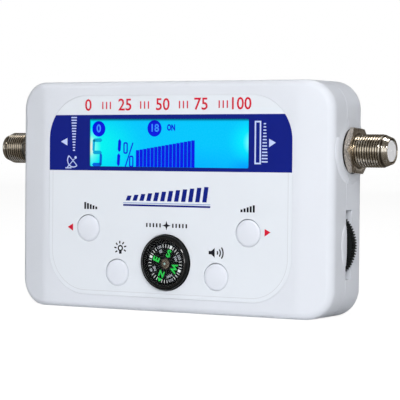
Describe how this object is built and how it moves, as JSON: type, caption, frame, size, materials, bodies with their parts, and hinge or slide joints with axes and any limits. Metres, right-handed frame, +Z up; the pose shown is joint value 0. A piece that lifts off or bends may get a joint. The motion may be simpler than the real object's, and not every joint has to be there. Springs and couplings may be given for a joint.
{
  "type": "satellite signal meter",
  "caption": "Flat white hand-held meter with a screened socket at each end, a lit display, push buttons, a small round compass and a knurled gain wheel.",
  "frame": {"origin": "under the middle of the meter, on the surface that it stands on", "axes": "+X along the box towards the side with the gain wheel, +Y from the front face towards the back, +Z up"},
  "size_m": [0.1332, 0.0232, 0.0683],
  "materials": {
    "case_white": "fine satin moulding, cool white",
    "button_white": "satin, slightly domed",
    "label_film": "printed film, white with a navy band",
    "display_glass": "lit cyan blue",
    "light_acrylic": "clear, polished",
    "grey_rubber": "matt",
    "board_green": "solder mask",
    "black_plastic": "semi-gloss black",
    "clear_lens": "clear, polished",
    "card_face": "printed black dial",
    "brass": "bright turned brass",
    "nickel": "bright nickel plate, warm grey",
    "dark_steel": "darkened steel",
    "steel": "zinc plated",
    "tinplate": "dull tin",
    "insulation": "matt white",
    "capacitor_sleeve": "shrunk sleeve"
  },
  "bodies": {
    "housing": {"front_cover": "case_white", "back_cover": "case_white", "front_label": "label_film", "lcd_cell": "display_glass", "lcd_holder": "insulation", "light_guide": "light_acrylic", "contact_strip_upper": "grey_rubber", "contact_strip_lower": "grey_rubber", "main_board": "board_green", "board_screw_1": "steel", "board_screw_2": "steel", "board_screw_3": "steel", "board_screw_4": "steel", "case_screw_1": "steel", "case_screw_2": "steel", "case_screw_3": "steel", "case_screw_4": "steel", "switch_body_upper_left": "dark_steel", "switch_body_lower_left": "dark_steel", "switch_body_upper_right": "dark_steel", "switch_body_lower_right": "dark_steel", "compass_bowl": "black_plastic", "compass_lens": "clear_lens", "compass_pivot": "steel", "socket_body_left": "nickel", "socket_body_right": "nickel", "insulator_left": "insulation", "insulator_right": "insulation", "contact_left": "brass", "contact_right": "brass", "washer_left": "dark_steel", "washer_right": "dark_steel", "nut_left": "nickel", "nut_right": "nickel", "pot_body": "steel", "tuner_can": "tinplate", "sounder": "black_plastic", "capacitor_1": "capacitor_sleeve", "capacitor_2": "capacitor_sleeve", "controller_chip": "black_plastic"},
    "upper_left_button": {"button_upper_left": "button_white", "plunger_upper_left": "black_plastic"},
    "lower_left_button": {"button_lower_left": "button_white", "plunger_lower_left": "black_plastic"},
    "upper_right_button": {"button_upper_right": "button_white", "plunger_upper_right": "black_plastic"},
    "lower_right_button": {"button_lower_right": "button_white", "plunger_lower_right": "black_plastic"},
    "wheel": {"gain_wheel": "black_plastic", "wheel_shaft": "dark_steel"},
    "card": {"compass_card": "card_face", "card_cap": "brass"}
  },
  "joints": [
    {"name": "press_upper_left", "type": "slide", "parent": "housing", "child": "upper_left_button", "axis": [0, 1, 0], "range_m": [0, 0.0005], "stiffness_N_per_m": 1500},
    {"name": "press_lower_left", "type": "slide", "parent": "housing", "child": "lower_left_button", "axis": [0, 1, 0], "range_m": [0, 0.0005], "stiffness_N_per_m": 1500},
    {"name": "press_upper_right", "type": "slide", "parent": "housing", "child": "upper_right_button", "axis": [0, 1, 0], "range_m": [0, 0.0005], "stiffness_N_per_m": 1500},
    {"name": "press_lower_right", "type": "slide", "parent": "housing", "child": "lower_right_button", "axis": [0, 1, 0], "range_m": [0, 0.0005], "stiffness_N_per_m": 1500},
    {"name": "turn_wheel", "type": "hinge", "parent": "housing", "child": "wheel", "pos_m": [0.045, 0.00145, 0.02105], "axis": [0, 1, 0], "range_deg": [-140, 140]},
    {"name": "turn_card", "type": "hinge", "parent": "housing", "child": "card", "pos_m": [0, -0.01055, 0.01478], "axis": [0, 1, 0], "continuous": true}
  ]
}
